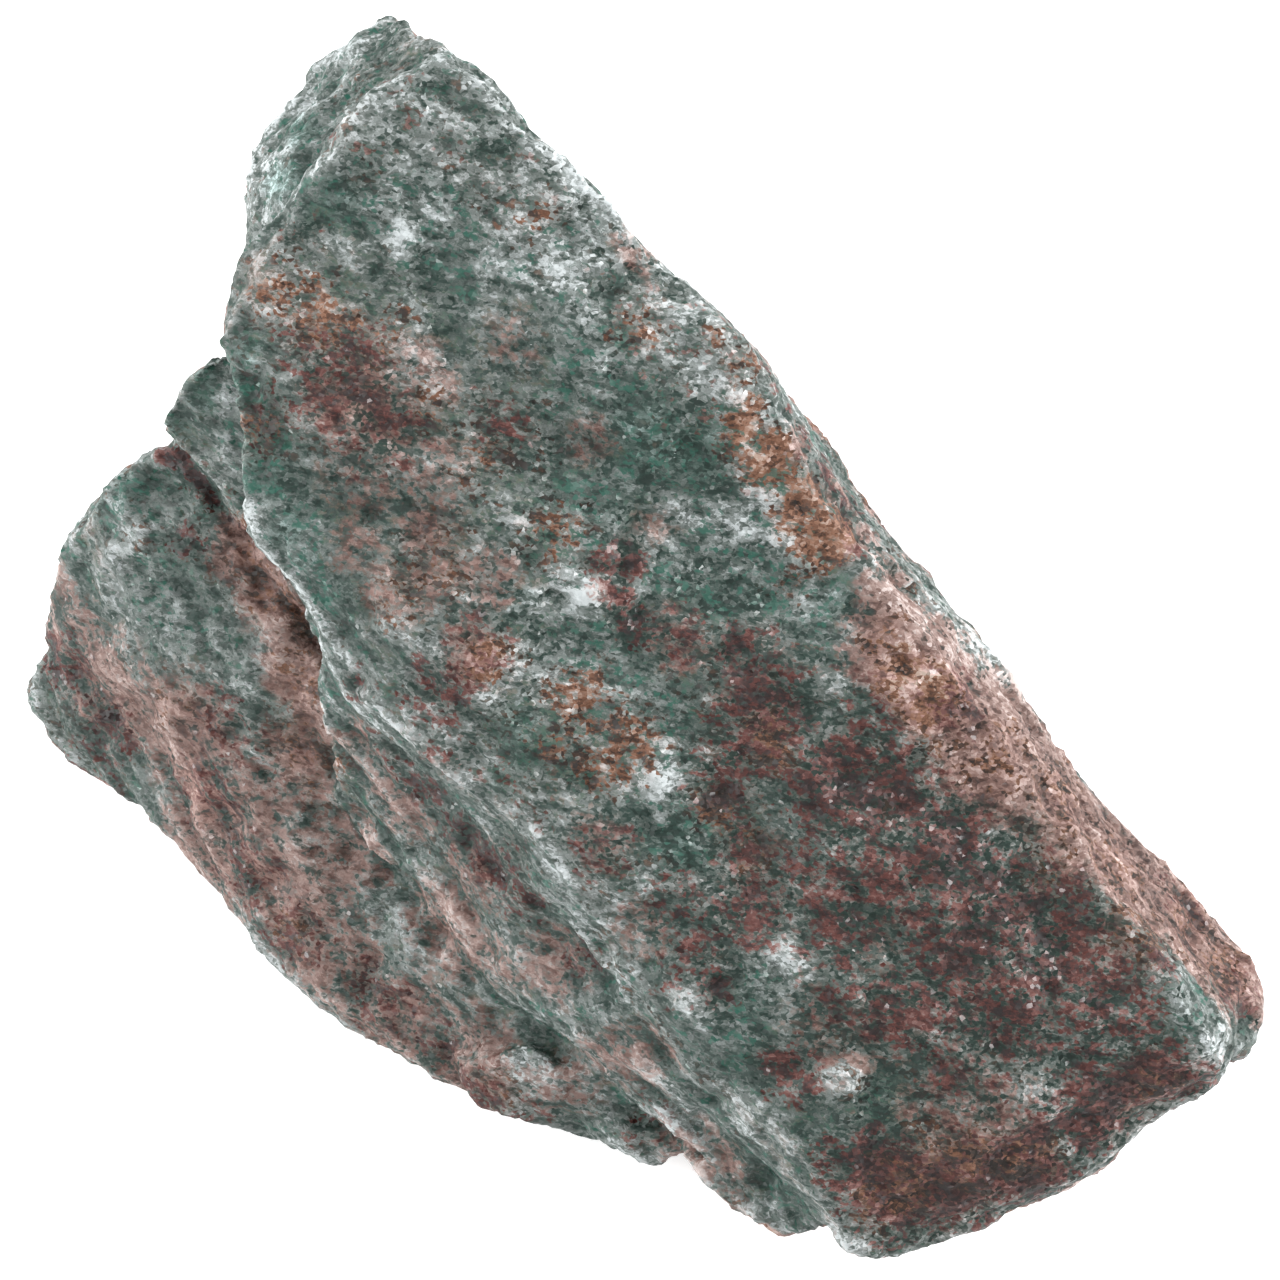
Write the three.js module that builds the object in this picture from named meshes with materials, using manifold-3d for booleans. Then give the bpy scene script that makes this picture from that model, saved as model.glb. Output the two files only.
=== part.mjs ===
// A rough, broken chunk of fuchsite quartzite, about 90 mm long, lying on its flat underside.
// Its layers run along its length, so it broke into a main block with thinner slabs down its near side.
// Millimetres, +Z up, +X along the length from the high blunt end to the thin toe, -Y the stepped near side.
import * as THREE from "three";
import { ConvexGeometry } from "three/addons/geometries/ConvexGeometry.js";
import { ImprovedNoise } from "three/addons/math/ImprovedNoise.js";
import { TessellateModifier } from "three/addons/modifiers/TessellateModifier.js";
import { mergeVertices } from "three/addons/utils/BufferGeometryUtils.js";
import Module from "manifold-3d";

const wasm = await Module();
wasm.setup();

// Driving sizes of the broken surface. The ribs show only on faces that look enough towards the near side.
const LONGEST_EDGE = 3.6;
const SPLITTING_PASSES = 14;
const SWELL = { height: 0.9, wavelength: 17 };
const LUMPS = { height: 1, wavelength: 7, stretch: 1.6 };
const RIBS = { height: 0.9, wavelength: 5, stretch: 5 };
const RIBS_SHOW_FROM = 0.3;
const RIBS_FULL_FROM = 0.7;
const FLAT_BASE_UP_TO = 0.01;
const BASE_BLEND = 2.5;
const SAME_POINT_WITHIN = 1e-4;

// Every block is a convex broken piece given by its corners, [along, across, up].
// The blocks share these corners, so that their faces run on into each other.
const crest = [
  [-26, 7.9, 46.3],
  [-23.5, 8.9, 45.3],
  [-12.4, 9, 42],
  [-4.1, 9, 39],
];
const brow = [
  [-26.9, 2.6, 44.5],
  [-26, -1.3, 42.5],
  [-26.6, -5.8, 40],
];
const shoulder = [-27.4, -10, 38];
const ridge = [
  [-24.6, -14, 36.5],
  [-21, -16.9, 34],
  [-16.1, -20, 30.5],
  [-7.4, -21.3, 25.5],
  [0.9, -20.6, 22.5],
  [13.6, -20.1, 19],
  [26.5, -20.9, 14.5],
  [37.7, -22.6, 10],
];
const toeCorner = [42.5, -23, 7.3];

// The main block: the big broken face on top, bent a little across its middle and down at the toe
const mainBlock = [
  ...crest,
  ...brow,
  shoulder,
  ...ridge,
  toeCorner,
  [2, -16.8, 27.2],
  [2.9, -6.6, 30.2],
  [8.8, 0.4, 31.7],
  [7.4, 6.3, 34.5],
  [14.9, 5.1, 31],
  [27.8, 2.2, 25],
  [39.8, 2.9, 21],
  [51.3, 2.3, 16.5],
  [47.2, -5, 14.9],
  [42.9, -15.6, 12.4],
  [40, -21.2, 10.8],
  [52.8, 1.8, 13],
  [51.4, -6, 8.8],
  [48.4, -15, 7],
  [45.2, -20.5, 6.5],
  [26.5, 10.8, 16],
  [36.2, 10, 14.5],
  [48.5, 9.6, 12.5],
  [-27, 7, 6],
  [-4, 10, 4],
  [20, 10.5, 5],
  [37, 9.5, 5],
  [47, 4, 5],
  [47, -6, 4.5],
  [44, -15.5, 4],
  [33, -20, 2.5],
  [-18, 3, 0],
  [-4, 6.5, 0],
  [14, 6.5, 0],
  [29, 4, 0],
  [37, -3, 0],
  [35, -12, 0],
  [24, -18, 0],
  [-18, -14, 0],
];

// The lump that stands proud along the upper half of the far side
const farShoulder = [
  [-4.1, 8.9, 38.5],
  [1.2, 9.3, 34],
  [6.4, 10.7, 28],
  [10.1, 10.4, 26],
  [13.4, 9.4, 23.5],
  [15.2, 5.4, 30],
  [8, 6.4, 33.5],
  [0, 8, 20],
  [12, 6, 18],
];

// The small corner that sticks out where the far side meets the toe
const nub = [
  [45.7, 10, 13.5],
  [48.7, 9.8, 13.8],
  [51.8, 7.8, 11.7],
  [52.6, 5.4, 11.2],
  [51.6, 3, 12],
  [49, 8, 5],
  [50.5, 4, 5],
  [43, 4, 8],
  [44, 2, 14],
];

// The blunt end: a lower block behind the brow, whose top is a sloping green face
const bluntEnd = [
  [-32.9, 9.5, 39],
  [-34.8, 4.7, 37],
  [-34.5, -0.7, 35],
  [-32.3, -3.4, 34.5],
  [-30.1, -6.8, 34],
  [-27, -9.4, 35.5],
  [-26.5, 9.2, 43],
  [-26, 3, 41.5],
  [-25.5, -5, 37.5],
  [-34.6, 5, 22],
  [-32.5, 10.6, 17],
  [-33.6, -3, 17],
  [-30, 8.5, 5],
  [-31, -5, 5],
  [-26, -12, 4],
  [-21, 4, 0],
  [-21, -10, 0],
  [-14, 0, 10],
  [-14, 9, 20],
];

// The bulge low on the far side, which the crest hides from the near side
const backBulge = [
  [-31, 10.4, 31],
  [-30, 11.8, 17],
  [-20, 13.4, 12],
  [-2, 14.4, 12],
  [9, 13.6, 10],
  [15, 11.8, 16],
  [4, 12, 25],
  [-14, 11.4, 34],
  [-22, 10.2, 39],
  [-24, 9, 3.5],
  [4, 10.5, 3],
  [-18, 2, 12],
  [5, 2, 12],
];

// The narrow slab between the main block and the lower slab, seen only at the blunt end
const middleSlab = [
  [-26.6, -13.7, 32],
  [-24, -10, 33],
  [-27.2, -17.1, 28.5],
  [-27.1, -19.1, 26.3],
  [-20, -18.9, 23.5],
  [-13, -19.6, 20],
  [-20, -10, 28],
  [-27, -12, 14],
  [-24, -20, 14],
  [-12, -10, 12],
];

// The front strip: the slab under the ridge, which ends in a ledge over the lower slab
const frontStrip = [
  [-9.5, -20.9, 24],
  ...ridge.slice(4),
  [-3.7, -26.5, 13],
  [-1, -26.9, 12.2],
  [3.1, -26.2, 12.2],
  [13.5, -25.2, 11.2],
  [24, -24.6, 10],
  [32.8, -25.7, 4.5],
  [38.2, -24.8, 4.5],
  [40.5, -23.5, 5.5],
  [0, -14, 10],
  [20, -20, 1.5],
  [33, -22.5, 2.5],
  [38, -18, 3],
];

// The lower slab: the broad streaked face that reaches down to the near foot
const lowerSlab = [
  [-27, -19.4, 24],
  [-28.2, -23.3, 21],
  [-28.7, -26.7, 17],
  [-28.5, -30.2, 11.5],
  [-27.4, -33.1, 7],
  [-26, -35, 4.5],
  [-23, -35.6, 3.5],
  [-15.5, -34.5, 2.5],
  [-4.2, -35.5, 2.5],
  [3.8, -35.6, 2],
  [10.6, -34.5, 2],
  [17, -32.6, 2],
  [-18.3, -19.8, 20.5],
  [-10.4, -21.6, 18],
  [12, -24.6, 10],
  [22, -24.6, 7],
  [-31, -18, 9],
  [-30, -24, 5],
  [-27.5, -13, 6],
  [-19, -28, 0],
  [-8, -31, 0],
  [6, -30.5, 0],
  [17, -27, 0],
  [-19, -13, 0],
  [15, -10, 0],
];

// The foot: the low lobe under the crevice at the middle of the near side
const foot = [
  [14, -32.2, 5.2],
  [17, -32.8, 3],
  [22.5, -30.5, 2],
  [25.5, -29.2, 2],
  [28.6, -27.2, 2.2],
  [29.6, -25.6, 4],
  [24, -25.2, 6.5],
  [16.8, -28.3, 7.3],
  [10, -29.5, 0],
  [20, -26.5, 0],
  [27, -20, 0],
  [14, -18, 0],
];

const blocks = [
  mainBlock, farShoulder, nub, bluntEnd, backBulge, middleSlab, frontStrip, lowerSlab, foot,
];

// Cracks between the slabs, each a thin wedge from its open mouth to its buried edge.
// They go in down the layers, away from the near side, and each wedge runs a little past its own stretch.
const CRACK_INWARD = [-0.1, 0.55, -0.83];
const CRACK_ACROSS = [0, 0.83, 0.55];
const CRACK_OVERLAP = 0.4;
const cracks = [
  { mouth: [[19.5, -28.8, 7], [24.6, -26.9, 6.2], [30.8, -24.9, 5.6]], width: 1.1, depth: 3.5 },
  { mouth: [[-27.4, -18.9, 25.6], [-23.2, -18.9, 23.2], [-17.6, -19.5, 20.8]], width: 0.7, depth: 2 },
];

// A solid from its corners
function hull(corners) {
  return solidOf(new ConvexGeometry(corners.map((corner) => new THREE.Vector3(...corner))));
}

// A closed geometry as a solid that can be joined and cut
function solidOf(geometry) {
  geometry.deleteAttribute("normal");
  geometry.deleteAttribute("uv");
  const merged = mergeVertices(geometry, SAME_POINT_WITHIN);
  return new wasm.Manifold(
    new wasm.Mesh({
      numProp: 3,
      vertProperties: merged.attributes.position.array,
      triVerts: new Uint32Array(merged.index.array),
    }),
  );
}

// One wedge for each stretch of a crack, from one millimetre outside the stone to its buried edge
function crackWedges({ mouth, width, depth }) {
  const inward = new THREE.Vector3(...CRACK_INWARD);
  const half = new THREE.Vector3(...CRACK_ACROSS).multiplyScalar(width / 2);
  const points = mouth.map((point) => new THREE.Vector3(...point));
  return points.slice(1).map((end, i) => {
    const over = end.clone().sub(points[i]).setLength(CRACK_OVERLAP);
    const ends = [points[i].clone().sub(over), end.clone().add(over)];
    const corners = ends.flatMap((point) => {
      const open = point.clone().sub(inward);
      const buried = point.clone().addScaledVector(inward, depth);
      return [open.clone().add(half), open.clone().sub(half), buried];
    });
    return solidOf(new ConvexGeometry(corners));
  });
}

function geometryOf(solid) {
  const mesh = solid.getMesh();
  const geometry = new THREE.BufferGeometry();
  geometry.setAttribute("position", new THREE.BufferAttribute(mesh.vertProperties, 3));
  geometry.setIndex(new THREE.BufferAttribute(mesh.triVerts, 1));
  return geometry;
}

// Height of the broken surface over the flat faces of the blocks, at one point
const noise = new ImprovedNoise();
function layer({ height, wavelength, stretch = 1 }, p) {
  return height * noise.noise(p.x / (wavelength * stretch), p.y / wavelength, p.z / wavelength);
}
function relief(p, normal) {
  const nearSide = THREE.MathUtils.smoothstep(-normal.y, RIBS_SHOW_FROM, RIBS_FULL_FROM);
  const rough = layer(SWELL, p) + layer(LUMPS, p) + layer(RIBS, p) * nearSide;
  return rough * THREE.MathUtils.smoothstep(p.z, 0, BASE_BLEND);
}

// Splits the faces finely and moves every point out or in by the relief, but for the flat base
function roughen(geometry) {
  const fine = new TessellateModifier(LONGEST_EDGE, SPLITTING_PASSES).modify(geometry);
  const rough = mergeVertices(fine, SAME_POINT_WITHIN);
  rough.computeVertexNormals();
  const { position, normal } = rough.attributes;
  const point = new THREE.Vector3();
  const outward = new THREE.Vector3();
  for (let i = 0; i < position.count; i += 1) {
    point.fromBufferAttribute(position, i);
    outward.fromBufferAttribute(normal, i);
    if (point.z > FLAT_BASE_UP_TO) {
      point.addScaledVector(outward, relief(point, outward));
      position.setXYZ(i, point.x, point.y, point.z);
    }
  }
  return rough;
}

// Moves the origin to the middle of the flat base
function centreOnBase(geometry) {
  geometry.computeBoundingBox();
  const { min, max } = geometry.boundingBox;
  return geometry.translate(-(min.x + max.x) / 2, -(min.y + max.y) / 2, -min.z);
}

const joined = blocks.map(hull).reduce((stone, block) => stone.add(block));
const cracked = cracks.flatMap(crackWedges).reduce((stone, wedge) => stone.subtract(wedge), joined);

const stone = new THREE.Mesh(
  centreOnBase(roughen(geometryOf(cracked))),
  new THREE.MeshStandardMaterial({ color: 0x6f7d75, roughness: 0.75, metalness: 0 }),
);
stone.name = "fuchsite_stone";

const specimen = new THREE.Group();
specimen.add(stone);
export default specimen;
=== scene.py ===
import math

import bmesh
import bpy
from mathutils import Matrix, Vector, noise
from mathutils.bvhtree import BVHTree


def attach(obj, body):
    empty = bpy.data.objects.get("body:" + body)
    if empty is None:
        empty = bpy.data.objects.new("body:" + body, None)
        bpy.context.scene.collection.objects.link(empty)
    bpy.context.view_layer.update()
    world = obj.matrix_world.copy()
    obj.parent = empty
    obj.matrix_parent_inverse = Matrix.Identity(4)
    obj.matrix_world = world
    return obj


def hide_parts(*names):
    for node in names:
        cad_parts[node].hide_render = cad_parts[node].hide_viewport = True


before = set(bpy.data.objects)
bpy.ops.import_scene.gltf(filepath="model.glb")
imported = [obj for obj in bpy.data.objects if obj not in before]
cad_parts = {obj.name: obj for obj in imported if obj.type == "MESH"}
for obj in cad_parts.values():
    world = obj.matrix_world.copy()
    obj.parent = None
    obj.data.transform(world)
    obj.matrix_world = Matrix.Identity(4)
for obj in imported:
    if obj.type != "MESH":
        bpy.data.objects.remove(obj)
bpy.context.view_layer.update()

# The camera stands over the stone's near right side and looks steeply down on the big broken face,
# as a close-up of a hand specimen is taken, with a long lens and the stone filling the frame.
MM = 0.001
PHOTO_SIDE = 1280
FRAME_SIDE = 85.33 * MM
VIEW_AZIMUTH = math.radians(45)
VIEW_ELEVATION = math.radians(70)
LENS = 120
SENSOR = 36
NEAREST = 10 * MM
LOOKED_AT = Vector((-3.21, 4.95, 22.6)) * MM

towards_camera = Vector((
    math.sin(VIEW_AZIMUTH) * math.cos(VIEW_ELEVATION),
    -math.cos(VIEW_AZIMUTH) * math.cos(VIEW_ELEVATION),
    math.sin(VIEW_ELEVATION),
))
to_the_right = Vector((math.cos(VIEW_AZIMUTH), math.sin(VIEW_AZIMUTH), 0))
to_the_top = towards_camera.cross(to_the_right)
camera_distance = FRAME_SIDE * LENS / SENSOR
camera_place = LOOKED_AT + towards_camera * camera_distance

camera_data = bpy.data.cameras.new("camera")
camera_data.lens = LENS
camera_data.sensor_width = SENSOR
camera_data.clip_start = NEAREST
camera = bpy.data.objects.new("camera", camera_data)
camera.matrix_world = Matrix.Translation(camera_place) @ Matrix(
    (to_the_right, to_the_top, towards_camera)
).transposed().to_4x4()
bpy.context.scene.collection.objects.link(camera)
bpy.context.scene.camera = camera


def ray_through(across, down):
    """The direction from the camera through a pixel of the photo."""
    pixel = FRAME_SIDE / PHOTO_SIDE
    sideways = to_the_right * (across - PHOTO_SIDE / 2) * pixel
    upwards = to_the_top * (PHOTO_SIDE / 2 - down) * pixel
    return (sideways + upwards - towards_camera * camera_distance).normalized()


# Soft studio light: a white surround, and three large softboxes, the strongest one beyond the top
# of the picture. It is bright enough for the pale floor to come out white around the stone.
WHITE = (1, 1, 1, 1)
SURROUND = 0.75
SOFTBOXES = {
    "top": {"place": (-0.25, 0.35, 0.45), "side": 0.50, "power": 2.6},
    "left": {"place": (-0.40, -0.40, 0.22), "side": 0.35, "power": 5.0},
    "right": {"place": (0.35, 0.40, 0.25), "side": 0.35, "power": 5.0},
}

world = bpy.data.worlds.new("surround")
world.use_nodes = True
world.node_tree.nodes["Background"].inputs["Color"].default_value = WHITE
world.node_tree.nodes["Background"].inputs["Strength"].default_value = SURROUND
bpy.context.scene.world = world
bpy.context.scene.view_settings.view_transform = "Standard"
for name, softbox in SOFTBOXES.items():
    light_data = bpy.data.lights.new(f"softbox_{name}", "AREA")
    light_data.size = softbox["side"]
    light_data.energy = softbox["power"]
    light = bpy.data.objects.new(f"softbox_{name}", light_data)
    light.location = softbox["place"]
    light.rotation_euler = (LOOKED_AT - light.location).to_track_quat("-Z", "Y").to_euler()
    bpy.context.scene.collection.objects.link(light)


# The floor: one wide sheet of matt white paper under the stone, lit a little from below as on a
# light table, so that it stays white close to the stone. It isn't part of the stone.
FLOOR_SIDE = 3.0
FLOOR_PAINT = (0.93, 0.93, 0.93, 1)
FLOOR_ROUGHNESS = 0.8
FLOOR_GLOW = 0.35


def new_material(name):
    """A material whose only nodes are the shader and the output."""
    material = bpy.data.materials.new(name)
    material.use_nodes = True
    return material, material.node_tree, material.node_tree.nodes["Principled BSDF"]


floor_bm = bmesh.new()
bmesh.ops.create_grid(floor_bm, x_segments=1, y_segments=1, size=FLOOR_SIDE / 2)
floor_mesh = bpy.data.meshes.new("floor")
floor_bm.to_mesh(floor_mesh)
floor_bm.free()
floor = bpy.data.objects.new("floor", floor_mesh)
bpy.context.scene.collection.objects.link(floor)
paper, _, paper_shader = new_material("white_paper")
paper_shader.inputs["Base Color"].default_value = FLOOR_PAINT
paper_shader.inputs["Roughness"].default_value = FLOOR_ROUGHNESS
paper_shader.inputs["Emission Color"].default_value = WHITE
paper_shader.inputs["Emission Strength"].default_value = FLOOR_GLOW
floor_mesh.materials.append(paper)

# The stone: one broken chunk of sugary quartz with mica. Its layers lie along the big face and
# come out at the sides as ribs that run along its length, and its whole surface is a rough break
# of small grains.
SAME_POINT_WITHIN = 0.001 * MM
VOXEL = 0.43 * MM
SOFTENING_ROUNDS = 7
SOFTENING = 0.5
ALONG_THE_RIDGE = Vector((0.911, -0.127, -0.391))
THROUGH_THE_LAYERS = Vector((0.32, -0.36, 0.87))
FLAT_BELOW = 0.15 * MM
FULL_RELIEF_FROM = 1.2 * MM

through = THROUGH_THE_LAYERS.normalized()
along = (ALONG_THE_RIDGE - through * ALONG_THE_RIDGE.dot(through)).normalized()
across_layers = through.cross(along)
TO_LAYERS = Matrix((along, across_layers, through))

cad_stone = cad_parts["fuchsite_stone"]
merged = bmesh.new()
merged.from_mesh(cad_stone.data)
bmesh.ops.remove_doubles(merged, verts=merged.verts, dist=SAME_POINT_WITHIN)
blank_mesh = bpy.data.meshes.new("stone_blank")
merged.to_mesh(blank_mesh)
merged.free()
blank = bpy.data.objects.new("stone_blank", blank_mesh)
bpy.context.scene.collection.objects.link(blank)
remesh = blank.modifiers.new("fine_surface", "REMESH")
remesh.mode = "VOXEL"
remesh.voxel_size = VOXEL
depsgraph = bpy.context.evaluated_depsgraph_get()
fine = bmesh.new()
fine.from_object(blank, depsgraph)
bpy.data.objects.remove(blank)

# The fine surface closes a few specks off inside the thin cracks; only the stone itself stays.
loose = set(fine.verts)
islands = []
while loose:
    island = [loose.pop()]
    for vertex in island:
        for edge in vertex.link_edges:
            neighbour = edge.other_vert(vertex)
            if neighbour in loose:
                loose.remove(neighbour)
                island.append(neighbour)
    islands.append(island)
islands.sort(key=len)
for island in islands[:-1]:
    bmesh.ops.delete(fine, geom=island, context="VERTS")

for _ in range(SOFTENING_ROUNDS):
    bmesh.ops.smooth_vert(
        fine, verts=[vertex for vertex in fine.verts if vertex.co.z > FLAT_BELOW],
        factor=SOFTENING, use_axis_x=True, use_axis_y=True, use_axis_z=True,
    )
fine.normal_update()


def smoothstep(low, high, value):
    """0 at low and before it, 1 at high and beyond it, and smooth between them."""
    share = min(max((value - low) / (high - low), 0), 1)
    return share * share * (3 - 2 * share)


# The stone's single knocks and hollows: pixel of the photo, radius and height in millimetres.
KNOCKS = [
    (752, 442, 2.0, -0.3), (775, 470, 2.2, -0.3), (800, 500, 2.2, -0.35), (828, 540, 1.8, -0.35),
    (868, 572, 2.6, 0.7), (880, 600, 1.8, 0.5), (905, 665, 1.8, -0.6), (930, 700, 1.8, -0.4),
    (590, 592, 1.3, 0.5), (622, 575, 1.3, -0.6), (640, 612, 1.5, -0.5), (560, 600, 1.5, -0.4),
    (735, 660, 2.2, -0.5), (722, 790, 1.8, -0.4), (590, 715, 2.2, -0.5), (660, 770, 2.0, 0.5),
    (300, 300, 2.0, -0.4), (335, 390, 2.4, -0.5), (400, 240, 2.0, 0.4), (445, 340, 2.4, -0.3),
    (520, 225, 2.4, 0.4), (470, 140, 2.4, 0.3), (600, 350, 2.6, 0.3), (560, 440, 2.4, -0.4),
    (690, 450, 2.4, -0.4), (640, 520, 2.2, -0.3), (470, 560, 2.4, -0.4), (400, 620, 2.2, 0.3),
    (770, 600, 2.0, -0.5), (800, 560, 2.0, 0.4), (850, 780, 2.6, -0.3), (930, 850, 2.4, 0.4),
    (790, 955, 1.8, 0.5), (720, 985, 1.6, -0.5), (800, 1070, 1.8, -0.5), (850, 1085, 1.6, 0.4),
    (980, 930, 2.4, -0.4), (1080, 1010, 2.6, 0.3), (1000, 1060, 2.4, -0.3), (930, 1180, 2.4, -0.3),
    (270, 590, 2.2, -0.3), (295, 660, 2.0, -0.3), (250, 540, 1.6, -0.3), (200, 580, 2.0, 0.3),
    (335, 730, 1.5, 0.5), (385, 850, 1.8, 0.4), (110, 560, 2.4, 0.4), (90, 640, 2.6, -0.4),
    (170, 720, 2.6, 0.4), (230, 820, 2.6, -0.4), (300, 900, 2.6, 0.4), (360, 990, 2.2, -0.4),
    (700, 1120, 1.6, -0.5), (760, 1180, 1.6, -0.5), (620, 1040, 1.8, -0.4), (520, 900, 2.0, 0.3),
    (310, 90, 2.2, -0.3), (290, 150, 2.0, 0.3), (360, 50, 2.0, 0.3), (1050, 800, 2.4, -0.3),
    (1130, 870, 2.2, 0.3), (1190, 930, 1.8, -0.4), (1000, 720, 2.4, 0.3), (950, 640, 1.8, 0.3),
    (318, 812, 1.2, -0.5), (348, 850, 1.3, -0.5), (382, 880, 1.3, -0.5), (415, 902, 1.3, -0.5),
    (443, 938, 1.3, -0.4), (470, 977, 1.3, -0.4), (498, 1020, 1.3, -0.4), (345, 800, 1.2, 0.4),
    (375, 835, 1.2, 0.4), (408, 862, 1.2, 0.4), (440, 885, 1.2, 0.35), (470, 925, 1.2, 0.3),
    (498, 965, 1.2, 0.3), (525, 1005, 1.2, 0.3),
]

surface = BVHTree.FromBMesh(fine)


def seen_at(across, down):
    """The point of the stone's surface behind a pixel of the photo, or nothing beside the stone."""
    return surface.ray_cast(camera_place, ray_through(across, down))[0]


def layered(point, sizes):
    """A point in steps of the sizes along, across and through the layers, in millimetres."""
    q = TO_LAYERS @ point
    return Vector((q.x / (sizes[0] * MM), q.y / (sizes[1] * MM), q.z / (sizes[2] * MM)))


# The relief all over: sizes along, across and through the layers in millimetres, how fast the finer
# detail in it dies away, how much finer each octave is, their number, and the height.
LUMPS = {"sizes": (6, 5, 2.6), "fall": 0.8, "finer": 2.0, "octaves": 4, "height": 0.34 * MM}
RIBS = {"sizes": (16, 6, 1.5), "fall": 0.7, "finer": 2.0, "octaves": 3, "height": 0.50 * MM}
CRUMBS = {"sizes": (1.5, 1.3, 1.0), "fall": 0.5, "finer": 2.1, "octaves": 3, "height": 0.17 * MM}
RIBS_FROM, RIBS_FULL = 0.04, 0.25
PIT_SIZES, PIT_DEPTH = (2.1, 1.8, 1.3), 0.30 * MM
PITS_FROM, PITS_FULL = 0.25, 0.7


def rough(point, kind):
    pattern = noise.fractal(
        layered(point, kind["sizes"]), kind["fall"], kind["finer"], kind["octaves"]
    )
    return pattern * kind["height"]


def relief(point, outward):
    """How far the broken surface stands out from the softened blank."""
    ribs = rough(point, RIBS) * smoothstep(RIBS_FROM, RIBS_FULL, 1 - abs(outward.dot(through)))
    pits = smoothstep(PITS_FROM, PITS_FULL, noise.noise(layered(point, PIT_SIZES)))
    return rough(point, LUMPS) + ribs + rough(point, CRUMBS) - pits * PIT_DEPTH


knocks = [(seen_at(x, y), radius * MM, height * MM) for x, y, radius, height in KNOCKS]
moves = []
for vertex in fine.verts:
    rise = relief(vertex.co, vertex.normal)
    for centre, radius, height in knocks:
        gap = (vertex.co - centre).length
        if gap < radius:
            rise += height * smoothstep(radius, 0, gap)
    moves.append(vertex.normal * rise * smoothstep(FLAT_BELOW, FULL_RELIEF_FROM, vertex.co.z))
for vertex, move in zip(fine.verts, moves):
    vertex.co += move
fine.normal_update()
surface = BVHTree.FromBMesh(fine)

# Rims are painted paler, partly as wear and partly as a painted highlight, and hollows are painted
# darker as painted shade:
# the attribute "edge" says how far each point stands out of, or lies under, the same surface with
# its edges smoothed away.
EDGE_ROUNDS = 40
EDGE_STANDS_OUT = 0.45 * MM
before = [vertex.co.copy() for vertex in fine.verts]
for _ in range(EDGE_ROUNDS):
    bmesh.ops.smooth_vert(
        fine, verts=fine.verts, factor=SOFTENING,
        use_axis_x=True, use_axis_y=True, use_axis_z=True,
    )
fine.normal_update()
broad_normals = [vertex.normal.copy() for vertex in fine.verts]
worn_lit_rims_and_shaded_hollows = [
    max(-1, min(1, (place - vertex.co).dot(vertex.normal) / EDGE_STANDS_OUT))
    for place, vertex in zip(before, fine.verts)
]
for vertex, place in zip(fine.verts, before):
    vertex.co = place
fine.normal_update()

stone_mesh = bpy.data.meshes.new("stone")
fine.to_mesh(stone_mesh)
fine.free()
stone_mesh.shade_smooth()
stone = bpy.data.objects.new("stone", stone_mesh)
bpy.context.scene.collection.objects.link(stone)
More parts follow.
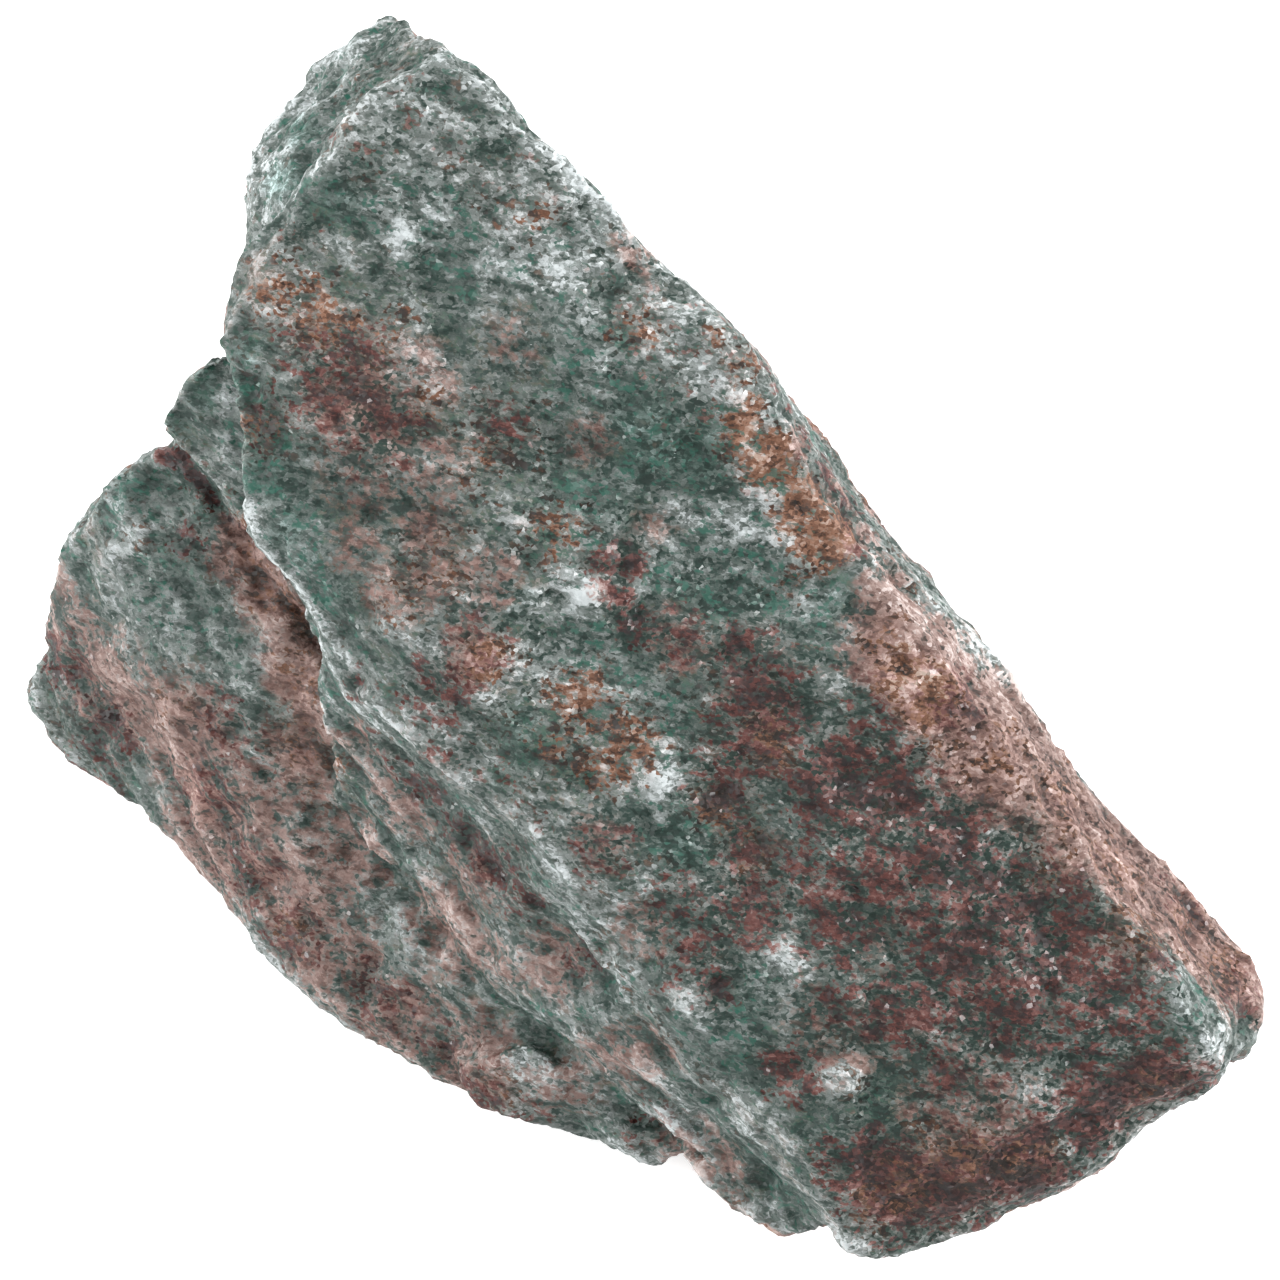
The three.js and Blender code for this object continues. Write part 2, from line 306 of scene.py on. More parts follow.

# The stone's stains, each with its spots: pixel of the photo, radius in millimetres and strength.
# Some quartz spots also paint a highlight on rims, and some mica spots paint shade in hollows.
# On the sides that the photo doesn't show they follow noise along the layers: how common they are
# there, the sizes of their patches in millimetres, and where the noise starts.
STAINS = {
    "maroon": {
        "hidden": 0.0, "sizes": (15, 9, 6), "seed": Vector((3.1, 0.4, 7.7)),
        "spots": [
            (340, 385, 3.6, 0.75), (380, 430, 2.6, 0.6), (310, 350, 2.4, 0.6), (300, 235, 1.4, 0.5),
            (500, 425, 2.4, 0.6), (250, 430, 1.6, 0.5), (440, 690, 2.4, 0.8), (480, 640, 2.0, 0.5),
            (622, 562, 1.4, 1.0), (618, 602, 1.4, 1.0), (640, 632, 1.6, 0.9), (745, 650, 1.6, 1.0),
            (760, 700, 3.0, 0.9), (730, 760, 2.4, 0.8), (770, 760, 2.6, 0.8), (725, 800, 1.8, 1.0),
            (830, 780, 3.6, 1.0), (890, 800, 3.6, 1.0), (870, 730, 2.2, 0.6), (940, 860, 4.0, 1.0),
            (1000, 900, 4.0, 0.9), (1060, 960, 4.0, 0.9), (960, 950, 4.0, 1.0),
            (880, 880, 3.4, 0.8), (1100, 1000, 3.4, 0.8), (1010, 1010, 3.6, 0.9),
            (910, 1010, 3.2, 0.9), (700, 950, 2.4, 0.6), (715, 985, 1.5, 1.0),
            (790, 1070, 1.9, 1.0), (740, 860, 2.2, 0.6), (680, 900, 2.0, 0.5),
            (960, 1080, 2.4, 0.6), (1150, 1080, 3.2, 1.2), (1100, 1110, 3.2, 1.2),
            (1190, 1080, 2.0, 1.0), (900, 1190, 3.4, 1.3), (960, 1190, 3.4, 1.3),
            (1020, 1170, 3.0, 1.3), (860, 1160, 2.2, 1.1), (162, 446, 0.9, 1.3),
            (172, 458, 0.9, 1.3), (183, 471, 0.9, 1.3), (194, 484, 0.9, 1.3), (206, 498, 0.8, 1.1),
            (383, 750, 1.6, 0.6), (425, 785, 1.6, 0.7), (460, 830, 1.8, 0.8), (495, 862, 1.8, 0.8),
            (528, 900, 1.8, 0.7), (580, 958, 1.8, 0.6), (770, 380, 0.8, 1.0), (750, 915, 2.6, 0.8),
            (835, 925, 2.6, 0.9), (800, 880, 2.2, 0.7), (680, 980, 1.8, 0.5), (1080, 900, 2.0, 0.6),
            (1150, 960, 2.0, 0.6), (1090, 1060, 2.6, 0.7), (790, 410, 0.8, 1.0),
            (812, 445, 0.8, 1.1), (835, 480, 0.8, 1.0), (852, 520, 0.8, 1.0), (858, 552, 0.8, 0.9),
            (186, 535, 1.1, 0.9), (196, 546, 1.0, 0.8), (780, 340, 1.4, 0.8), (830, 470, 1.4, 0.7),
            (850, 500, 1.2, 0.7), (290, 930, 2.6, 0.7), (375, 1000, 2.6, 0.6),
            (480, 1095, 2.2, 0.6), (245, 870, 2.4, 0.7), (200, 790, 3.0, 0.7), (230, 720, 2.6, 0.5),
            (70, 660, 2.6, 0.7), (110, 730, 2.6, 0.7), (520, 1110, 2.0, 0.4), (430, 1060, 2.2, 0.5),
            (1240, 990, 1.8, 0.7), (960, 700, 2.6, 0.5), (1180, 900, 2.4, 0.4),
            (640, 1130, 1.6, 0.4), (680, 640, 2.0, 0.6), (600, 850, 2.0, 0.6), (520, 850, 1.6, 0.6),
            (445, 760, 1.8, 0.6), (360, 690, 1.6, 0.5), (840, 1000, 2.2, 0.7),
            (1040, 1130, 2.4, 0.8),
        ],
    },
    "pink": {
        "hidden": 0.2, "sizes": (20, 12, 8), "seed": Vector((5.2, 7.1, 0.9)),
        "spots": [
            (60, 620, 4, 0.5), (110, 690, 5, 0.6), (180, 740, 5, 0.65), (240, 810, 5, 0.6),
            (200, 850, 4, 0.6), (290, 880, 5, 0.6), (340, 960, 4, 0.5), (400, 1010, 4, 0.5),
            (470, 1060, 4, 0.5), (560, 1090, 3, 0.4), (300, 760, 4, 0.5), (350, 850, 4, 0.5),
            (450, 930, 4, 0.5), (500, 960, 3, 0.4), (600, 1060, 3, 0.5), (690, 1150, 3, 0.5),
            (800, 430, 1.6, 0.5), (840, 490, 1.6, 0.5), (860, 540, 2, 0.4), (900, 610, 3, 0.9),
            (950, 680, 4, 1.0), (1010, 740, 5, 1.0), (1080, 800, 5, 1.0), (1140, 860, 5, 1.0),
            (1200, 930, 4, 1.0), (1240, 980, 3, 0.9), (880, 660, 2.5, 0.6), (250, 550, 2.5, 0.8),
            (275, 600, 2.5, 0.9), (300, 660, 2.5, 0.9), (315, 710, 2, 0.8), (300, 760, 2.2, 0.7),
            (390, 590, 3, 0.35), (440, 580, 3, 0.4), (490, 580, 2.5, 0.4), (470, 660, 2.2, 0.5),
            (510, 340, 3, 0.3), (870, 780, 3, 0.3), (430, 520, 2.5, 0.5), (360, 540, 2.2, 0.4),
            (590, 440, 2.5, 0.4), (650, 520, 2.2, 0.3), (680, 640, 2.5, 0.4), (600, 840, 2.5, 0.4),
            (640, 930, 2.5, 0.4), (900, 900, 6, 0.35), (1000, 1000, 6, 0.35), (960, 1100, 5, 0.35),
            (850, 1030, 5, 0.35), (780, 880, 5, 0.3), (1100, 950, 4, 0.35), (760, 690, 4, 0.35),
            (900, 1170, 4, 0.4), (1120, 1090, 3, 0.4), (640, 250, 2, 0.4), (560, 150, 2, 0.3),
            (420, 380, 3, 0.4), (1000, 1120, 4, 0.4), (360, 480, 3, 0.35), (430, 470, 3, 0.35),
            (350, 400, 3.5, 0.6), (390, 440, 2.5, 0.5), (350, 740, 2.5, 0.4), (400, 800, 3, 0.5),
            (470, 870, 3, 0.5), (550, 960, 3, 0.5), (640, 1060, 3, 0.5), (720, 1170, 3, 0.4),
        ],
    },
    "rust": {
        "hidden": 0.0, "sizes": (10, 6, 4), "seed": Vector((9.3, 5.5, 1.2)),
        "spots": [
            (275, 290, 2.2, 0.7), (320, 310, 2.6, 0.8), (375, 330, 2.2, 0.7), (265, 425, 1.8, 0.7),
            (440, 410, 2.0, 0.5), (480, 460, 2.2, 0.5), (560, 540, 2.4, 0.6), (440, 560, 3.0, 0.45),
            (400, 590, 2.4, 0.45), (490, 660, 2.0, 0.8), (580, 700, 2.4, 0.9), (630, 740, 2.4, 0.9),
            (600, 770, 1.8, 0.8), (555, 740, 1.8, 0.7), (640, 325, 1.8, 0.6), (540, 215, 1.8, 0.4),
            (770, 740, 1.8, 0.7), (750, 850, 1.8, 0.6), (720, 810, 1.8, 0.8), (790, 580, 1.6, 0.5),
            (745, 430, 1.6, 1.3), (772, 462, 1.8, 1.4), (798, 500, 1.8, 1.4), (825, 538, 1.8, 1.4),
            (838, 560, 1.2, 1.0), (735, 385, 1.0, 0.6), (740, 360, 1.0, 0.6), (715, 340, 1.0, 0.6),
            (915, 670, 1.8, 1.1), (935, 700, 2.0, 1.0), (1000, 760, 3.0, 0.6),
            (1060, 800, 3.0, 0.6), (1120, 870, 3.0, 0.6), (1180, 930, 3.0, 0.6),
            (1225, 970, 2.4, 0.7), (890, 640, 1.6, 0.6), (900, 700, 1.2, 0.6), (940, 750, 1.2, 0.5),
            (1060, 870, 2.2, 0.5), (1140, 930, 2.2, 0.6), (340, 765, 1.2, 0.8),
            (280, 600, 2.6, 0.6), (300, 680, 2.2, 0.6), (255, 560, 2.0, 0.5), (300, 740, 2.0, 0.6),
            (315, 780, 1.6, 0.6), (240, 520, 1.6, 0.5), (960, 1165, 3.2, 0.8),
            (900, 1190, 2.6, 0.8), (1025, 1160, 2.4, 0.7), (1150, 1085, 2.4, 0.6),
            (40, 650, 2.0, 0.6), (170, 700, 2.4, 0.4), (290, 935, 1.8, 0.5), (1000, 620, 3.0, 0.5),
            (1150, 840, 3.0, 0.4), (500, 1090, 1.8, 0.5),
        ],
    },
    # Quartz: pale grains of quartz; the rows along the ridge, along the ledge and at the strip's
    # lower edge are also a painted highlight on the rims.
    "quartz": {
        "hidden": 0.0, "sizes": (8, 7, 3), "seed": Vector((2.6, 8.8, 4.1)),
        "spots": [
            (590, 590, 1.6, 1.3), (560, 575, 1.4, 0.8), (545, 610, 1.8, 0.7), (510, 650, 1.6, 0.7),
            (490, 690, 1.6, 0.7), (660, 772, 1.8, 0.75), (625, 775, 1.6, 0.8), (700, 775, 1.6, 0.7),
            (570, 680, 1.6, 0.5), (790, 955, 1.2, 1.1), (845, 1078, 1.4, 0.9), (345, 245, 1.6, 0.6),
            (400, 235, 1.8, 0.6), (500, 270, 2.0, 0.5), (560, 270, 2.0, 0.5), (430, 90, 1.8, 0.6),
            (370, 110, 2.4, 0.9), (400, 160, 2.4, 0.5), (270, 190, 2.0, 0.8), (440, 195, 2.4, 0.5),
            (520, 190, 2.4, 0.6), (590, 215, 2.0, 0.8), (612, 250, 2.0, 0.7), (850, 555, 1.5, 0.6),
            (845, 740, 2.0, 0.6), (840, 700, 1.8, 0.6), (520, 1075, 2.0, 0.5),
            (600, 1095, 2.0, 0.6), (670, 1125, 2.2, 0.8), (700, 1165, 2.2, 0.8),
            (350, 45, 2.4, 0.9), (285, 190, 2.2, 1.0), (920, 610, 2.4, 0.8), (960, 650, 2.4, 0.8),
            (1005, 685, 2.4, 0.7), (925, 740, 2.2, 0.5), (915, 690, 2.2, 0.7),
            (600, 1070, 2.0, 0.7), (660, 1080, 1.8, 0.6), (845, 1235, 2.2, 0.7),
            (605, 1095, 1.6, 0.5), (690, 510, 1.8, 0.6), (740, 520, 1.6, 0.8), (700, 560, 1.6, 0.6),
            (870, 680, 1.8, 0.8), (760, 500, 1.3, 0.9), (785, 545, 1.5, 0.9), (815, 585, 1.5, 0.9),
            (845, 630, 1.5, 0.8), (900, 650, 1.4, 0.7), (940, 780, 1.4, 0.5), (820, 690, 1.6, 0.4),
            (672, 338, 2.0, 1.0), (700, 375, 2.0, 0.9), (722, 415, 1.8, 0.9), (738, 455, 1.5, 0.9),
            (650, 290, 1.8, 0.8), (600, 230, 1.6, 0.5), (1000, 850, 1.2, 0.5),
            (1060, 920, 1.2, 0.5), (1110, 970, 1.2, 0.5), (228, 400, 1.2, 0.6),
            (240, 450, 1.4, 0.7), (262, 520, 1.6, 0.6), (290, 570, 1.8, 0.6), (319, 625, 1.8, 0.6),
            (350, 662, 1.6, 0.6), (384, 692, 1.6, 0.6), (415, 716, 1.6, 0.8), (448, 738, 1.6, 0.9),
            (482, 770, 1.6, 0.9), (516, 804, 1.6, 0.8), (540, 828, 1.5, 0.7), (332, 790, 0.8, 0.8),
            (361, 832, 0.8, 0.8), (394, 862, 0.8, 0.8), (428, 883, 0.8, 0.7), (456, 920, 0.8, 0.6),
            (511, 1003, 0.8, 0.6), (562, 858, 1.5, 0.7), (588, 888, 1.5, 0.7), (613, 922, 1.8, 0.7),
            (645, 955, 1.8, 0.7), (680, 1000, 1.6, 0.7), (740, 1110, 1.6, 0.6),
            (120, 540, 1.8, 0.5), (90, 590, 1.8, 0.5), (240, 760, 2.4, 0.4), (640, 890, 1.6, 0.5),
            (940, 1040, 1.4, 0.5), (330, 150, 1.8, 0.5), (290, 110, 2.6, 0.9), (270, 160, 2.2, 0.8),
            (1220, 1050, 1.6, 0.6),
        ],
    },
    # Mica: dark green mica; in the recess under the ridge and below the ledge the mica spots are
    # also painted shade.
    "mica": {
        "hidden": 0.1, "sizes": (8, 6, 4), "seed": Vector((6.4, 1.9, 3.3)),
        "spots": [
            (330, 200, 2.4, 0.9), (430, 70, 2.0, 0.6), (300, 215, 2.0, 0.8), (500, 330, 3.0, 0.5),
            (600, 340, 2.4, 0.4), (640, 440, 3.6, 0.9), (700, 450, 3.0, 0.9), (620, 500, 2.6, 0.7),
            (560, 380, 3.0, 0.5), (450, 520, 2.6, 0.5), (350, 530, 3.0, 0.7), (270, 480, 2.6, 0.8),
            (250, 390, 1.8, 1.0), (240, 345, 1.8, 1.0), (256, 435, 1.8, 1.0), (268, 475, 1.8, 1.0),
            (290, 525, 1.8, 0.9), (310, 560, 1.8, 0.8), (340, 600, 2.6, 0.7), (390, 660, 2.2, 0.6),
            (520, 600, 2.4, 0.7), (700, 600, 3.0, 0.7), (760, 590, 2.6, 0.7), (820, 620, 2.8, 0.6),
            (660, 660, 2.4, 0.6), (690, 690, 2.0, 0.6), (520, 740, 2.6, 0.9), (500, 780, 1.8, 0.8),
            (700, 800, 1.8, 0.7), (780, 700, 2.4, 0.5), (860, 700, 2.4, 0.6), (910, 740, 2.2, 0.5),
            (600, 860, 2.4, 0.6), (650, 940, 2.2, 0.7), (750, 1000, 2.4, 0.7),
            (820, 1010, 2.4, 0.5), (740, 1060, 2.6, 0.7), (880, 1100, 2.6, 0.7),
            (960, 1120, 2.4, 0.6), (820, 1140, 2.6, 0.7), (860, 960, 2.4, 0.5),
            (200, 390, 2.0, 1.0), (180, 430, 2.0, 1.0), (130, 480, 2.4, 0.9), (100, 510, 2.0, 0.8),
            (170, 560, 2.4, 0.6), (90, 540, 1.6, 0.8), (60, 600, 1.8, 0.6), (350, 790, 2.0, 0.6),
            (400, 850, 1.8, 0.6), (300, 1000, 1.8, 0.5), (580, 1100, 2.4, 0.6),
            (460, 1080, 2.0, 0.5), (740, 1170, 2.4, 0.6), (820, 1230, 2.4, 0.6),
            (1040, 850, 2.0, 0.5), (1100, 920, 2.0, 0.5), (1180, 1010, 2.4, 0.6),
            (930, 630, 1.4, 1.0), (850, 520, 1.2, 0.8), (290, 80, 2.8, 0.8), (350, 40, 2.6, 0.6),
            (390, 30, 1.8, 0.6), (280, 180, 2.4, 0.9), (260, 240, 1.8, 0.6), (300, 130, 2.4, 0.9),
            (350, 180, 2.4, 0.6), (680, 845, 2.6, 0.9), (520, 850, 2.2, 0.6), (450, 840, 2.2, 0.5),
            (840, 600, 2.4, 0.8), (330, 690, 1.8, 0.5), (1000, 920, 2.4, 0.4), (560, 520, 2.4, 0.7),
            (610, 535, 2.0, 0.6), (600, 760, 2.0, 0.4),
        ],
    },
}
SIDES_FROM, SIDES_TO = 0.04, 0.16
SPOT_EDGE, SPOT_CORE = 1.7, 0.2
SEEN_FROM, SEEN_FULLY = -0.1, 0.2
HELD_BACK_WHERE_SEEN = 0.85
OWN_FALL, OWN_FINER, OWN_OCTAVES, OWN_FULL = 0.9, 2.0, 3, 0.6
WARPS = [((3.4, 2.6, 1.8), 1.1 * MM), ((1.3, 1.0, 0.7), 0.5 * MM)]
WARP_SEED = 1

# Only the noise that frays the spots' edges has a seed, which is the time of day unless it is set.
noise.seed_set(WARP_SEED)


def stain_of(recipe, spots, point, outward):
    """The strength of one stain at a point: its placed spots, and else the layers' own noise."""
    seen = smoothstep(SEEN_FROM, SEEN_FULLY, outward.dot(towards_camera))
    strength = 0
    warped = point.copy()
    for sizes, reach in WARPS:
        warped += noise.noise_vector(layered(point, sizes) + recipe["seed"]) * reach
    for centre, radius, full in spots:
        gap = (warped - centre).length
        if gap < radius * SPOT_EDGE:
            fade = smoothstep(radius * SPOT_EDGE, radius * SPOT_CORE, gap)
            strength = max(strength, full * fade)
    own = noise.fractal(
        layered(point, recipe["sizes"]) + recipe["seed"], OWN_FALL, OWN_FINER, OWN_OCTAVES
    )
    own = smoothstep(0, OWN_FULL, own + recipe["hidden"])
    return max(strength, own * (1 - HELD_BACK_WHERE_SEEN * seen))


# The attribute "edge" carries the painted highlight on rims, partly wear, and the painted shade in
# hollows.
rim_wear_light_and_shade = stone_mesh.attributes.new("edge", "FLOAT", "POINT")
rim_wear_light_and_shade.data.foreach_set("value", worn_lit_rims_and_shaded_hollows)
sides = stone_mesh.attributes.new("side", "FLOAT", "POINT")
sides.data.foreach_set("value", [
    smoothstep(SIDES_FROM, SIDES_TO, 1 - abs(outward.dot(through))) for outward in broad_normals
])
placed_spots = {
    name: [
        (seen_at(x, y), radius * MM, full)
        for x, y, radius, full in recipe["spots"]
        if seen_at(x, y)
    ]
    for name, recipe in STAINS.items()
}
for name, recipe in STAINS.items():
    strengths = stone_mesh.attributes.new(name, "FLOAT", "POINT")
    strengths.data.foreach_set("value", [
        stain_of(recipe, placed_spots[name], vertex.co, outward)
        for vertex, outward in zip(stone_mesh.vertices, broad_normals)
    ])

# The rock's material: grains of a third of a millimetre, each with its own tone and its own tilt.
# Mica darkens them to green, quartz lightens them, and the stains tint them; some quartz spots also
# paint a highlight on rims, and some mica spots paint shade in hollows. Grains and flecks run
# aslant on the big face, and the streaks run along the layers at the sides.
GRAIN_SIZES = (0.30, 0.27, 0.22)
GRAIN_TILT = 0.75
PATCH_SIZES = (5.0, 2.6, 1.6)
GRIT_SIZES = (1.30, 0.70, 0.45)
FLECK_SIZES = (1.7, 1.0, 0.7)
STREAK_SIZES = (14.0, 4.0, 0.7)
CLOUD_ROUGHNESS = 0.68
SOFT_DETAIL, SHARP_DETAIL = 2.0, 3.0
GRIT_SHIFT, FLECK_SHIFT, STREAK_SHIFT = 4.3, 9.7, 2.1
GREEN_TONES = [
    (0.0, (0.002, 0.013, 0.009)), (0.25, (0.011, 0.030, 0.023)), (0.5, (0.064, 0.080, 0.072)),
    (0.75, (0.166, 0.187, 0.181)), (1.0, (0.440, 0.475, 0.480)),
]
PINK_TONES = [
    (0.0, (0.022, 0.010, 0.008)), (0.25, (0.062, 0.032, 0.025)), (0.5, (0.132, 0.078, 0.065)),
    (0.75, (0.232, 0.162, 0.142)), (1.0, (0.410, 0.345, 0.325)),
]
MAROON_TONES = [
    (0.0, (0.006, 0.002, 0.002)), (0.25, (0.020, 0.005, 0.004)), (0.5, (0.066, 0.017, 0.013)),
    (0.75, (0.150, 0.068, 0.058)), (1.0, (0.300, 0.230, 0.215)),
]
RUST_TONES = [
    (0.0, (0.008, 0.004, 0.002)), (0.25, (0.032, 0.013, 0.006)), (0.5, (0.106, 0.043, 0.021)),
    (0.75, (0.200, 0.100, 0.062)), (1.0, (0.340, 0.265, 0.220)),
]
MIDDLE_TONE = 0.46
PATCH_CONTRAST, PATCH_CONTRAST_AT_SIDES = 0.9, 0.5
GRIT_CONTRAST, GRIT_CONTRAST_AT_SIDES = 1.4, 0.9
STREAK_CONTRAST, STREAK_CONTRAST_AT_SIDES = 0.3, 1.3
GRAIN_CONTRAST = 0.34
WISP_WIDTH, WISP_TONE = 0.045, 0.16
DARK_FROM, DARK_TO, DARK_FLECK_TONE = 0.10, 0.14, -0.28
QUARTZ_AND_RIM_LIGHT_TONE, MICA_AND_SHADE_TONE, MAROON_TONE, RIM_WEAR_LIGHT_AND_SHADE_TONE = 0.30, -0.20, -0.20, 0.20
FRAYED_BY_GRAINS = 0.25
VIVID_FROM, VIVID_TO, VIVID_BY_MICA, VIVID_COVER = 0.07, 0.17, 0.05, 0.8
VIVID_BELOW, VIVID_GONE = 0.50, 0.90
MINT_FROM, MINT_TO = 0.5, 1.1
BANDING = 1.5
PINK_FROM, PINK_TO, PINK_RAGGED = 0.15, 0.60, 1.5
WARM_BY_STAINS, WARM_TO = 0.6, 0.9
BROKEN_FROM, BROKEN_TO, RAGGED = 0.30, 0.58, 2.2
STAIN_SHOWS_FROM, STAIN_SHOWS_TO, PINK_SHOWS_TO = 0.02, 0.2, 0.3
MAROON_COVER, RUST_COVER = 0.66, 0.62
EMERALD = (0.010, 0.072, 0.050, 1)
MINT = (0.80, 1.05, 1.00, 1)
WARMING = (1.16, 0.90, 0.84, 1)
DULL, GLOSSY = 0.60, 0.28
GLOSSY_FROM, GLOSSY_TO = 0.91, 0.94
SHINE = 0.4


class Value:
    """A number in a material: sums, products and comparisons of it add Math nodes."""

    def __init__(self, socket):
        self.socket = socket

    def maths(self, operation, *others, swapped=False):
        values = [*others, self] if swapped else [self, *others]
        tree = self.socket.id_data
        return node(tree, "ShaderNodeMath", {"operation": operation}, dict(enumerate(values)))

    def __add__(self, other):
        return self.maths("ADD", other)

    def __radd__(self, other):
        return self.maths("ADD", other, swapped=True)

    def __sub__(self, other):
        return self.maths("SUBTRACT", other)

    def __rsub__(self, other):
        return self.maths("SUBTRACT", other, swapped=True)

    def __mul__(self, other):
        return self.maths("MULTIPLY", other)

    def __rmul__(self, other):
        return self.maths("MULTIPLY", other, swapped=True)

    def __neg__(self):
        return self.maths("MULTIPLY", -1)


def node(tree, kind, settings=None, inputs=None, output=0):
    """Adds a node: its settings first, then the values or links of its sockets."""
    added = tree.nodes.new(kind)
    for name, value in (settings or {}).items():
        if name == "stops":
            ramp = added.color_ramp
            while len(ramp.elements) < len(value):
                ramp.elements.new(1)
            for element, (position, colour) in zip(ramp.elements, value):
                element.position = position
                element.color = (*colour, 1)
        else:
            setattr(added, name, value)
    for name, value in (inputs or {}).items():
        if isinstance(value, Value):
            tree.links.new(value.socket, added.inputs[name])
        else:
            added.inputs[name].default_value = value
    return Value(added.outputs[output])


grain_run = (along + across_layers).normalized()
TO_GRAIN_RUN = Matrix((grain_run, through.cross(grain_run), through))

rock, tree, shader = new_material("fuchsite_quartzite")
place = node(tree, "ShaderNodeTexCoord", output="Object")
grain_place = node(
    tree, "ShaderNodeMapping", {}, {"Vector": place, "Rotation": TO_GRAIN_RUN.to_euler()}
)
layer_place = node(
    tree, "ShaderNodeMapping", {}, {"Vector": place, "Rotation": TO_LAYERS.to_euler()}
)


def vector_maths(operation, *vectors):
    return node(tree, "ShaderNodeVectorMath", {"operation": operation}, dict(enumerate(vectors)))


def in_steps(turned_place, sizes):
    """The place in steps of the three sizes in millimetres, the last of them through the layers."""
    return vector_maths("MULTIPLY", turned_place, [1 / (size * MM) for size in sizes])


def cloud(turned_place, sizes, detail, shift=0):
    """Soft noise with the three sizes, about 0.5 on average."""
    moved = vector_maths("ADD", in_steps(turned_place, sizes), (shift, shift, shift))
    return node(
        tree, "ShaderNodeTexNoise", {"noise_dimensions": "3D"},
        {"Vector": moved, "Scale": 1.0, "Detail": detail, "Roughness": CLOUD_ROUGHNESS},
    )


def step(low, high, value):
    """0 below low, 1 above high and smooth between them."""
    return node(
        tree, "ShaderNodeMapRange", {"interpolation_type": "SMOOTHSTEP"},
        {"Value": value, "From Min": low, "From Max": high, "To Min": 0.0, "To Max": 1.0},
    )


def blend(factor, first, second):
    return node(
        tree, "ShaderNodeMix", {"data_type": "RGBA"}, {0: factor, 6: first, 7: second}, output=2
    )


def tinted(factor, colour, tint):
    return node(
        tree, "ShaderNodeMix", {"data_type": "RGBA", "blend_type": "MULTIPLY"},
        {0: factor, 6: colour, 7: tint}, output=2,
    )


def tones(stops, value):
    return node(tree, "ShaderNodeValToRGB", {"stops": stops}, {"Fac": value})


def stain(name):
    return node(tree, "ShaderNodeAttribute", {"attribute_name": name}, output="Fac")


grain_colour = node(
    tree, "ShaderNodeTexVoronoi", {},
    {"Vector": in_steps(grain_place, GRAIN_SIZES), "Scale": 1.0}, output="Color",
)
chance = node(tree, "ShaderNodeSeparateColor", {}, {0: grain_colour}, output=0)
second_chance = node(tree, "ShaderNodeSeparateColor", {}, {0: grain_colour}, output=1)

patches = cloud(grain_place, PATCH_SIZES, SOFT_DETAIL) - 0.5
grit = cloud(grain_place, GRIT_SIZES, SHARP_DETAIL, GRIT_SHIFT) - 0.5
flecks = cloud(grain_place, FLECK_SIZES, SOFT_DETAIL, FLECK_SHIFT) - 0.5
streaks = cloud(layer_place, STREAK_SIZES, SHARP_DETAIL, STREAK_SHIFT) - 0.5
side, edge = stain("side"), stain("edge")
quartz, mica, pink = stain("quartz"), stain("mica"), stain("pink")
maroon, rust = stain("maroon"), stain("rust")

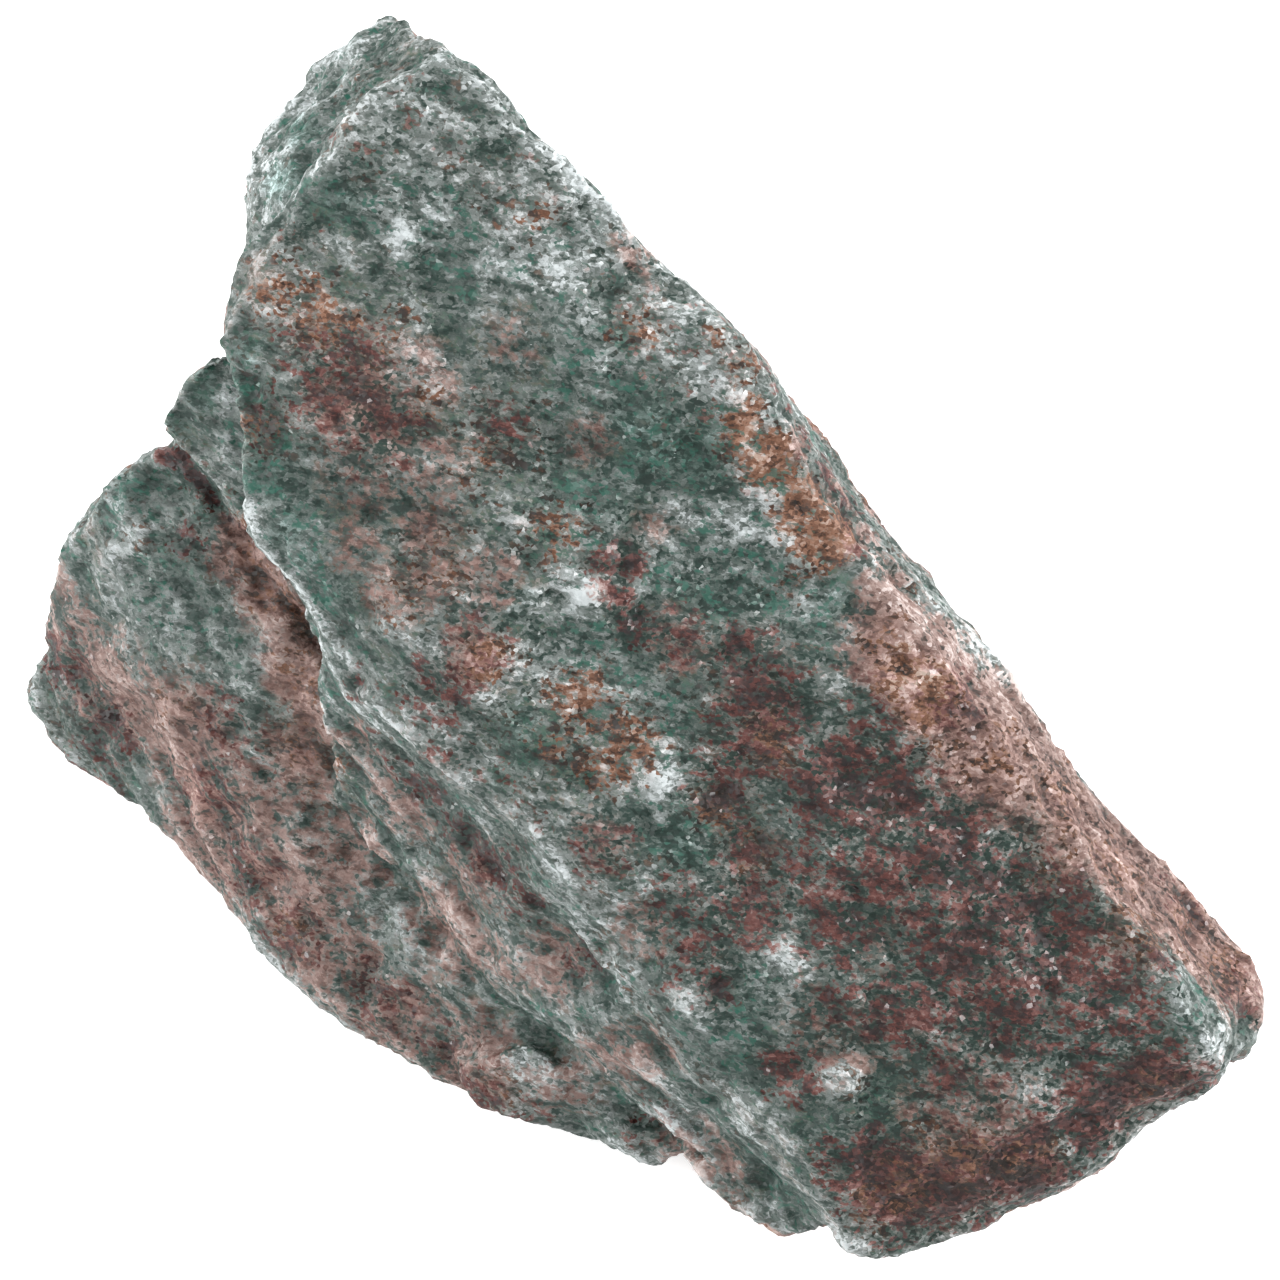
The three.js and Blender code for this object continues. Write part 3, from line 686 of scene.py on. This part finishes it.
# Tone: how light the rock is, from black at 0 to white at 1, before its hue.
wisps = 1 - step(0, WISP_WIDTH, grit.maths("ABSOLUTE"))
fray = flecks + FRAYED_BY_GRAINS * (second_chance - 0.5)
tone = (
    MIDDLE_TONE
    + (PATCH_CONTRAST + (PATCH_CONTRAST_AT_SIDES - PATCH_CONTRAST) * side) * patches
    + (GRIT_CONTRAST + (GRIT_CONTRAST_AT_SIDES - GRIT_CONTRAST) * side) * grit
    + (STREAK_CONTRAST + (STREAK_CONTRAST_AT_SIDES - STREAK_CONTRAST) * side) * streaks
    + GRAIN_CONTRAST * (chance - 0.5)
    + WISP_TONE * wisps
    + DARK_FLECK_TONE * step(DARK_FROM, DARK_TO, -fray)
    # Quartz lightens the tone, partly as a painted highlight on rims.
    + QUARTZ_AND_RIM_LIGHT_TONE * quartz
    # Mica darkens the tone, partly as painted shade in hollows.
    + MICA_AND_SHADE_TONE * mica
    + MAROON_TONE * maroon
    # The edge term paints a highlight on rims, partly as wear, and paints shade into hollows.
    + RIM_WEAR_LIGHT_AND_SHADE_TONE * edge
)

# Hue: green rock, minty and flecked with emerald at the mica, then the stains with ragged edges.
colour = tinted(step(MINT_FROM, MINT_TO, mica), tones(GREEN_TONES, tone), MINT)
vivid = step(VIVID_FROM, VIVID_TO, VIVID_BY_MICA * mica + fray)
vivid = vivid * (1 - step(VIVID_BELOW, VIVID_GONE, tone)) * VIVID_COVER
colour = blend(vivid, colour, EMERALD)
banded = BANDING * side * streaks
pinkish = step(PINK_FROM, PINK_TO, pink + PINK_RAGGED * fray + banded)
pinkish = pinkish * step(STAIN_SHOWS_FROM, PINK_SHOWS_TO, pink)
colour = blend(pinkish, colour, tones(PINK_TONES, tone))
colour = tinted(step(0, WARM_TO, WARM_BY_STAINS * (maroon + rust)), colour, WARMING)
red = step(BROKEN_FROM, BROKEN_TO, MAROON_COVER * maroon + RAGGED * fray - banded)
red = red * step(STAIN_SHOWS_FROM, STAIN_SHOWS_TO, maroon)
colour = blend(red, colour, tones(MAROON_TONES, tone))
brown = step(BROKEN_FROM, BROKEN_TO, RUST_COVER * rust - RAGGED * fray)
brown = brown * step(STAIN_SHOWS_FROM, STAIN_SHOWS_TO, rust)
colour = blend(brown, colour, tones(RUST_TONES, tone))
tree.links.new(colour.socket, shader.inputs["Base Color"])

# A few grains are glassy, and every grain leans its own way.
glossy = step(GLOSSY_FROM, GLOSSY_TO, second_chance)
tree.links.new((DULL - (DULL - GLOSSY) * glossy).socket, shader.inputs["Roughness"])
shader.inputs["Specular IOR Level"].default_value = SHINE
tilt = vector_maths(
    "MULTIPLY", vector_maths("SUBTRACT", grain_colour, (0.5, 0.5, 0.5)), [GRAIN_TILT] * 3
)
outwards = node(tree, "ShaderNodeNewGeometry", output="Normal")
facets = vector_maths("NORMALIZE", vector_maths("ADD", outwards, tilt))
tree.links.new(facets.socket, shader.inputs["Normal"])

stone_mesh.materials.append(rock)
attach(stone, "root")
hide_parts("fuchsite_stone")
